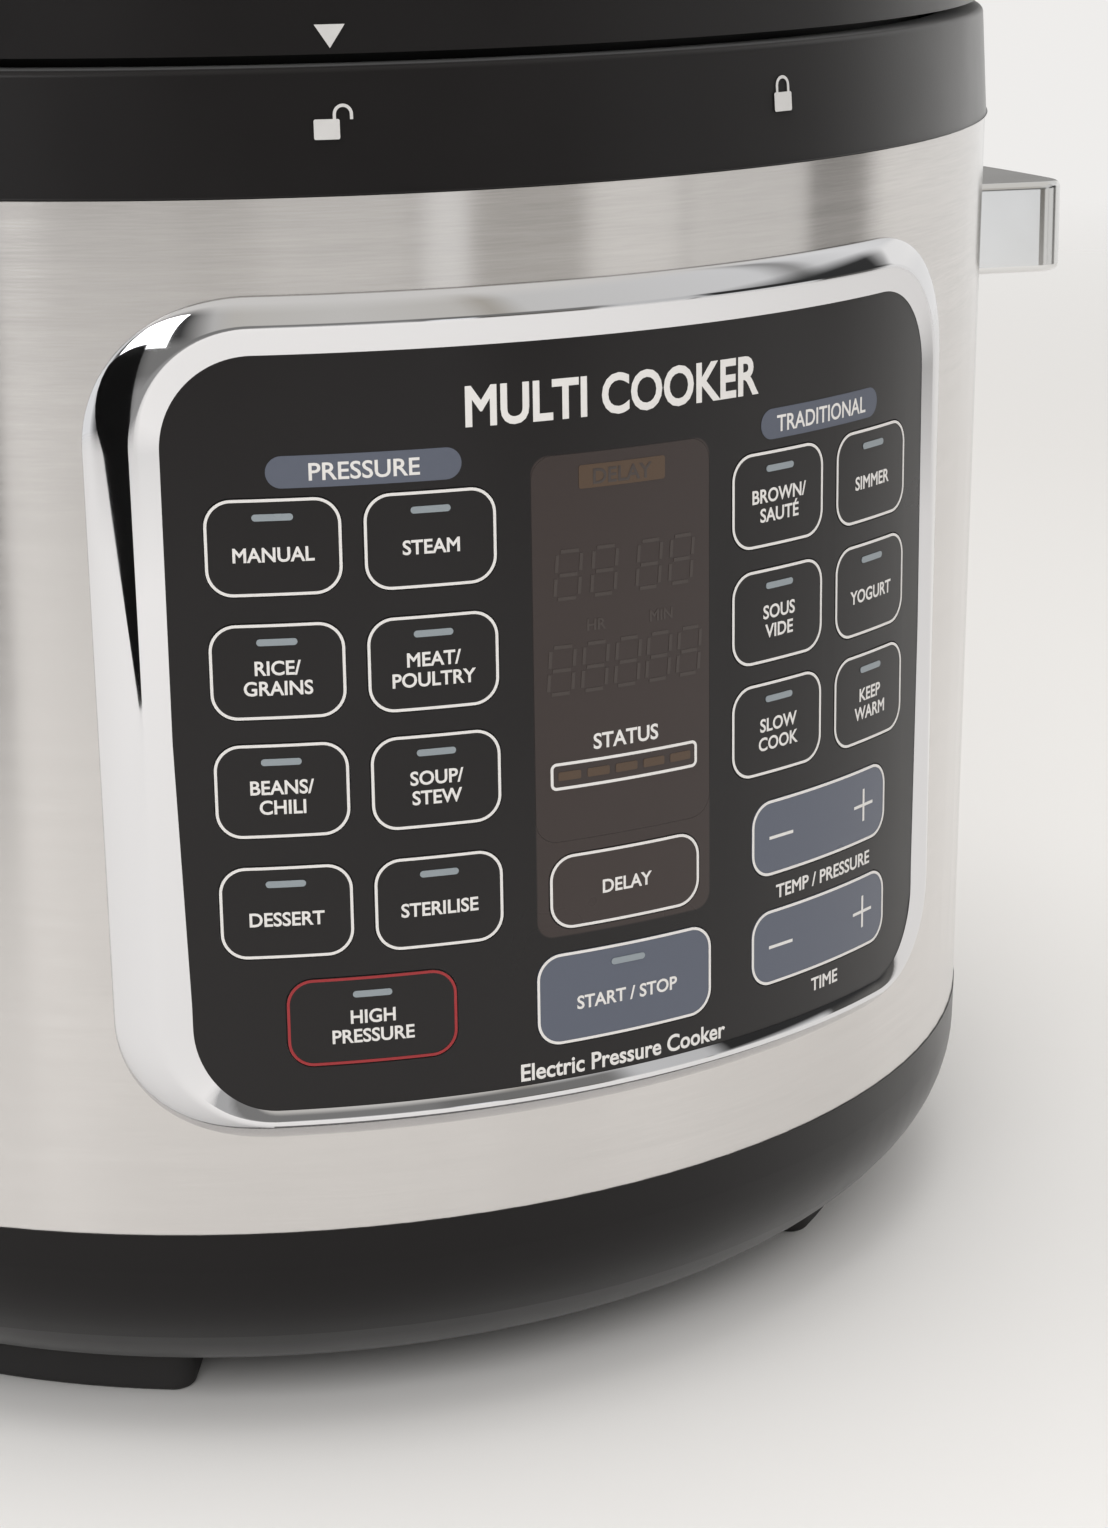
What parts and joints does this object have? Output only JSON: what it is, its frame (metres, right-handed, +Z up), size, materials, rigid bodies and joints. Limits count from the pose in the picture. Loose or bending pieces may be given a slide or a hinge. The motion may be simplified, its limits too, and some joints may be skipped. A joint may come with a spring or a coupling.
{
  "type": "electric pressure cooker",
  "caption": "Round bench-top electric pressure cooker with a twist-lock lid, lift-out pot, side handles and a curved front panel of push keys.",
  "frame": {"origin": "on the body's vertical axis, at the plane the feet stand on", "axes": "+Z up along the body's axis, -Y towards the user (front panel), +X along the side handles"},
  "size_m": [0.344, 0.3145, 0.325],
  "materials": {
    "black_plastic": "satin",
    "feet": "matte",
    "band_steel": "brushed round the body",
    "plain_steel": "satin",
    "chrome": "polished",
    "panel_face": "semi-gloss",
    "slate_key": "semi-gloss",
    "window": "gloss",
    "moulded_parts": "matte",
    "circuit_board": "matte",
    "membrane": "matte",
    "cast_aluminium": "as cast",
    "pot_coating": "non-stick coated",
    "silicone": "matte",
    "lead_sleeve": "matte",
    "clear_plastic": "clear"
  },
  "bodies": {
    "base": {"base_shell": "black_plastic", "bottom_cover": "black_plastic", "cover_screws": "plain_steel", "rubber_feet": "feet", "steel_band": "band_steel", "upper_collar": "black_plastic", "liner_pot": "plain_steel", "locking_ring": "plain_steel", "heating_plate": "cast_aluminium", "heating_element": "plain_steel", "sensor_spring": "plain_steel", "sensor_bracket": "moulded_parts", "thermal_cutout": "moulded_parts", "power_board": "circuit_board", "heater_leads": "lead_sleeve", "power_inlet": "black_plastic", "handle_left": "chrome", "handle_right": "chrome", "cup_bracket": "black_plastic", "panel_bezel": "chrome", "panel_overlay": "panel_face", "display_window": "window", "display_module": "moulded_parts", "keypad_membrane": "membrane", "panel_carrier": "black_plastic", "control_board": "circuit_board"},
    "probe": {"pot_sensor": "cast_aluminium"},
    "cup": {"condensation_cup": "clear_plastic"},
    "pot": {"inner_pot": "pot_coating"},
    "seal": {"sealing_gasket": "silicone"},
    "lid": {"inner_lid": "plain_steel", "lid_cover": "black_plastic", "lid_screws": "plain_steel", "lid_handle": "black_plastic", "vent_pipe": "plain_steel", "vent_nut": "plain_steel", "vent_filter": "plain_steel"},
    "dial": {"steam_dial": "black_plastic"},
    "weight": {"valve_weight": "plain_steel"},
    "float": {"float_pin": "plain_steel", "float_seal": "silicone"},
    "key_manual": {"key_manual": "panel_face"},
    "key_steam": {"key_steam": "panel_face"},
    "key_rice": {"key_rice": "panel_face"},
    "key_meat": {"key_meat": "panel_face"},
    "key_beans": {"key_beans": "panel_face"},
    "key_soup": {"key_soup": "panel_face"},
    "key_dessert": {"key_dessert": "panel_face"},
    "key_sterilise": {"key_sterilise": "panel_face"},
    "key_saute": {"key_saute": "panel_face"},
    "key_simmer": {"key_simmer": "panel_face"},
    "key_sous_vide": {"key_sous_vide": "panel_face"},
    "key_yogurt": {"key_yogurt": "panel_face"},
    "key_slow_cook": {"key_slow_cook": "panel_face"},
    "key_keep_warm": {"key_keep_warm": "panel_face"},
    "key_rapid": {"key_rapid": "panel_face"},
    "key_delay": {"key_delay": "panel_face"},
    "key_start_stop": {"key_start_stop": "slate_key"},
    "rocker_pressure": {"rocker_pressure": "slate_key"},
    "rocker_time": {"rocker_time": "slate_key"}
  },
  "joints": [
    {"name": "probe_slide", "type": "slide", "parent": "base", "child": "probe", "axis": [0, 0, 1], "range_m": [-0.003, 0], "stiffness_N_per_m": 500, "springref_m": 0.004, "deforming": ["sensor_spring"]},
    {"name": "cup_slide", "type": "slide", "parent": "base", "child": "cup", "axis": [0, 1, 0], "range_m": [0, 0.03]},
    {"name": "pot_lift", "type": "slide", "parent": "base", "child": "pot", "axis": [0, 0, 1], "range_m": [0, 0.171]},
    {"name": "lid_lift", "type": "slide", "parent": "base", "child": "seal", "axis": [0, 0, 1], "range_m": [0, 0.34]},
    {"name": "lid_turn", "type": "hinge", "parent": "seal", "child": "lid", "pos_m": [0, 0, 0.23], "axis": [0, 0, 1], "range_deg": [0, 32.4]},
    {"name": "dial_turn", "type": "hinge", "parent": "lid", "child": "dial", "pos_m": [0, 0.072, 0.2834], "axis": [0, 0, -1], "range_deg": [0, 90]},
    {"name": "weight_lift", "type": "slide", "parent": "lid", "child": "weight", "axis": [0, 0, 1], "range_m": [0, 0.0026]},
    {"name": "float_rise", "type": "slide", "parent": "lid", "child": "float", "axis": [0, 0, 1], "range_m": [0, 0.005]},
    {"name": "press_manual", "type": "slide", "parent": "base", "child": "key_manual", "axis": [0.3967, 0.9179, 0], "range_m": [0, 0.0004], "stiffness_N_per_m": 1500},
    {"name": "press_steam", "type": "slide", "parent": "base", "child": "key_steam", "axis": [0.2313, 0.9729, 0], "range_m": [0, 0.0004], "stiffness_N_per_m": 1500},
    {"name": "press_rice", "type": "slide", "parent": "base", "child": "key_rice", "axis": [0.3967, 0.9179, 0], "range_m": [0, 0.0004], "stiffness_N_per_m": 1500},
    {"name": "press_meat", "type": "slide", "parent": "base", "child": "key_meat", "axis": [0.2313, 0.9729, 0], "range_m": [0, 0.0004], "stiffness_N_per_m": 1500},
    {"name": "press_beans", "type": "slide", "parent": "base", "child": "key_beans", "axis": [0.3967, 0.9179, 0], "range_m": [0, 0.0004], "stiffness_N_per_m": 1500},
    {"name": "press_soup", "type": "slide", "parent": "base", "child": "key_soup", "axis": [0.2313, 0.9729, 0], "range_m": [0, 0.0004], "stiffness_N_per_m": 1500},
    {"name": "press_dessert", "type": "slide", "parent": "base", "child": "key_dessert", "axis": [0.3967, 0.9179, 0], "range_m": [0, 0.0004], "stiffness_N_per_m": 1500},
    {"name": "press_sterilise", "type": "slide", "parent": "base", "child": "key_sterilise", "axis": [0.2313, 0.9729, 0], "range_m": [0, 0.0004], "stiffness_N_per_m": 1500},
    {"name": "press_saute", "type": "slide", "parent": "base", "child": "key_saute", "axis": [-0.2253, 0.9743, 0], "range_m": [0, 0.0004], "stiffness_N_per_m": 1500},
    {"name": "press_simmer", "type": "slide", "parent": "base", "child": "key_simmer", "axis": [-0.3948, 0.9188, 0], "range_m": [0, 0.0004], "stiffness_N_per_m": 1500},
    {"name": "press_sous_vide", "type": "slide", "parent": "base", "child": "key_sous_vide", "axis": [-0.2253, 0.9743, 0], "range_m": [0, 0.0004], "stiffness_N_per_m": 1500},
    {"name": "press_yogurt", "type": "slide", "parent": "base", "child": "key_yogurt", "axis": [-0.3948, 0.9188, 0], "range_m": [0, 0.0004], "stiffness_N_per_m": 1500},
    {"name": "press_slow_cook", "type": "slide", "parent": "base", "child": "key_slow_cook", "axis": [-0.2253, 0.9743, 0], "range_m": [0, 0.0004], "stiffness_N_per_m": 1500},
    {"name": "press_keep_warm", "type": "slide", "parent": "base", "child": "key_keep_warm", "axis": [-0.3948, 0.9188, 0], "range_m": [0, 0.0004], "stiffness_N_per_m": 1500},
    {"name": "press_rapid", "type": "slide", "parent": "base", "child": "key_rapid", "axis": [0.309, 0.9511, 0], "range_m": [0, 0.0004], "stiffness_N_per_m": 1500},
    {"name": "press_delay", "type": "slide", "parent": "base", "child": "key_delay", "axis": [0, 1, 0], "range_m": [0, 0.0004], "stiffness_N_per_m": 1500},
    {"name": "press_start_stop", "type": "slide", "parent": "base", "child": "key_start_stop", "axis": [0, 1, 0], "range_m": [0, 0.0004], "stiffness_N_per_m": 1500},
    {"name": "rock_pressure", "type": "hinge", "parent": "base", "child": "rocker_pressure", "pos_m": [0.04416, -0.13622, 0.099], "axis": [0, 0, 1], "range_deg": [-1.2, 1.2], "stiffness_Nm_per_rad": 0.3},
    {"name": "rock_time", "type": "hinge", "parent": "base", "child": "rocker_time", "pos_m": [0.04416, -0.13622, 0.0788], "axis": [0, 0, 1], "range_deg": [-1.2, 1.2], "stiffness_Nm_per_rad": 0.3}
  ],
  "couplings": [
    {"joint": "pot_lift", "follows": "lid_lift", "ratio": 0.5},
    {"joint": "weight_lift", "follows": "dial_turn", "m_per_rad": 0.0015915}
  ]
}
